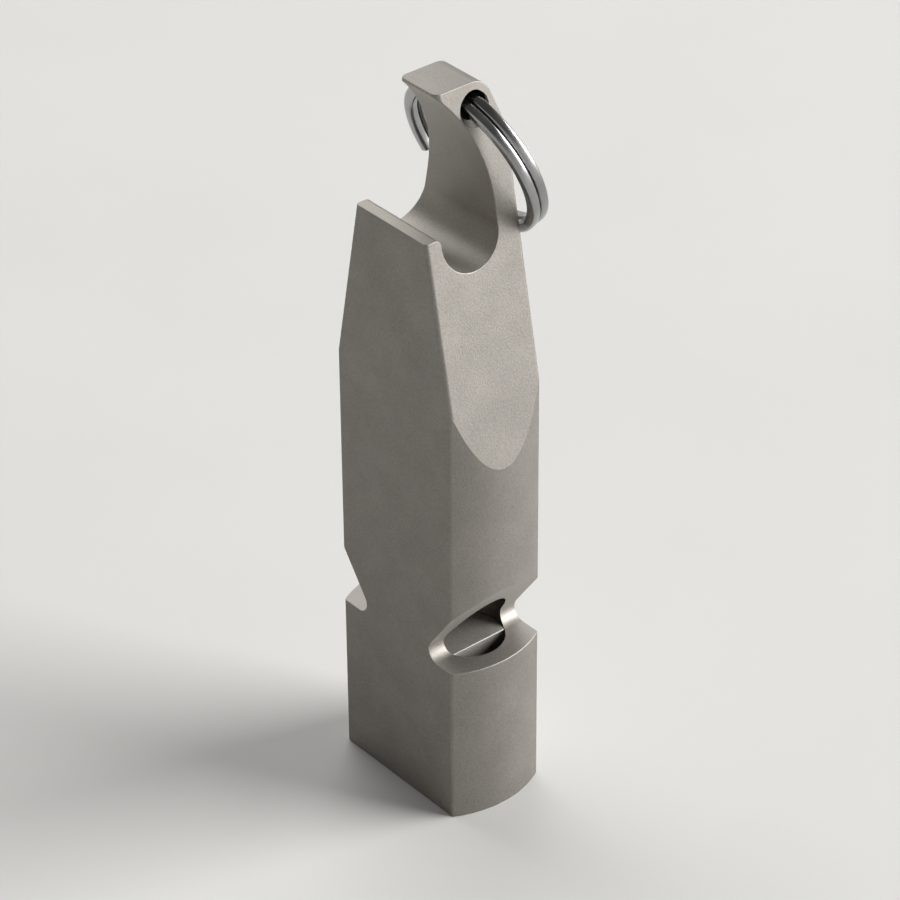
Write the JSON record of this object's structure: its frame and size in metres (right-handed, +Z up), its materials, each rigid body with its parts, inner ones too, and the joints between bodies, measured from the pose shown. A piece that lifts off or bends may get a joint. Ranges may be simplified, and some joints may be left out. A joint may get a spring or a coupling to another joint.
{
  "type": "survival whistle",
  "caption": "Flat-bar metal whistle with two drilled chambers, V windows in its sides, a hooked horn above a scoop, and a split ring through the horn.",
  "frame": {"origin": "centre of the flat mouth end, where the whistle stands and where it is blown", "axes": "+Z up the whistle from the mouth end to the horn, X across its width, +Y through its thickness towards the flat back where the ring hangs"},
  "size_m": [0.014, 0.0102, 0.0558],
  "materials": {
    "blasted_titanium": "bead-blasted titanium, matt warm grey",
    "plug_titanium": "turned titanium, satin",
    "ring_steel": "polished spring steel"
  },
  "bodies": {
    "whistle": {"whistle_body": "blasted_titanium", "windway_plug_right": "plug_titanium", "windway_plug_left": "plug_titanium"},
    "ring": {"split_ring": "ring_steel"}
  },
  "joints": [
    {"name": "ring_swing", "type": "hinge", "parent": "whistle", "child": "ring", "pos_m": [0, 0.00145, 0.0542], "axis": [1, 0, 0], "range_deg": [0, 298]}
  ]
}
